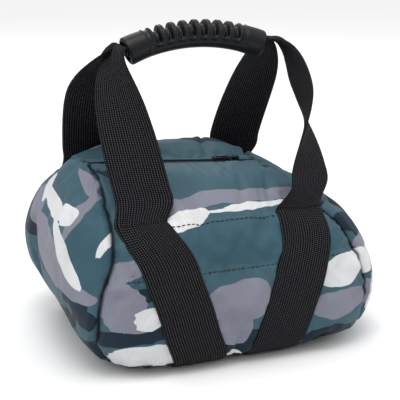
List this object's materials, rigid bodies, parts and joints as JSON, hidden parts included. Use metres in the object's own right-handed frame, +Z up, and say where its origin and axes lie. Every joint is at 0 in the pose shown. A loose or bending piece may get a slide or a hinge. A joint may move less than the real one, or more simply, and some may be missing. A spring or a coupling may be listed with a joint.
{
  "type": "sandbag",
  "caption": "Soft training sandbag: stuffed zip-top bag of patterned fabric with webbing runs down both faces and a ribbed rubber carry grip held above it.",
  "frame": {"origin": "centre of the bag's footprint, on the floor", "axes": "+Z up; +X along the grip and the zip, towards the zip's closed end; -Y is the front face"},
  "size_m": [0.2964, 0.244, 0.2943],
  "materials": {
    "camo_fabric": "matte",
    "base_fabric": "matte",
    "webbing": "matte",
    "grip_rubber": "satin",
    "zip_tape": "matte",
    "zip_teeth": "satin",
    "zip_metal": "satin",
    "liner_film": "satin",
    "sand": "matte"
  },
  "bodies": {
    "bag": {"front_panel": "camo_fabric", "back_panel": "camo_fabric", "left_end_panel": "camo_fabric", "right_end_panel": "camo_fabric", "base_panel": "base_fabric", "front_zip_tape": "zip_tape", "back_zip_tape": "zip_tape", "front_zip_teeth": "zip_teeth", "back_zip_teeth": "zip_teeth", "left_zip_stop": "zip_metal", "right_zip_stop": "zip_metal", "front_inner_band": "webbing", "back_inner_band": "webbing", "liner_bag": "liner_film", "sand_fill": "sand", "lower_base_webbing": "webbing", "upper_base_webbing": "webbing", "front_left_webbing": "webbing", "front_right_webbing": "webbing", "back_left_webbing": "webbing", "back_right_webbing": "webbing"},
    "handle": {"grip": "grip_rubber", "front_grip_webbing": "webbing", "back_grip_webbing": "webbing", "front_left_riser": "webbing", "front_right_riser": "webbing", "back_left_riser": "webbing", "back_right_riser": "webbing"},
    "slider": {"zip_slider": "zip_metal"},
    "pull": {"zip_pull": "zip_metal"}
  },
  "joints": [
    {"name": "handle_swing", "type": "hinge", "parent": "bag", "child": "handle", "pos_m": [0, 0, 0.139], "axis": [1, 0, 0], "range_deg": [-30, 30], "stiffness_Nm_per_rad": 0.6, "deforming": ["front_left_riser", "front_right_riser", "back_left_riser", "back_right_riser"]},
    {"name": "zip_slide", "type": "slide", "parent": "bag", "child": "slider", "axis": [-0.9972, 0, 0.0748], "range_m": [0, 0.126]},
    {"name": "pull_turn", "type": "hinge", "parent": "slider", "child": "pull", "pos_m": [0.04229, 0, 0.16049], "axis": [0, 1, 0], "range_deg": [0, 150]}
  ]
}
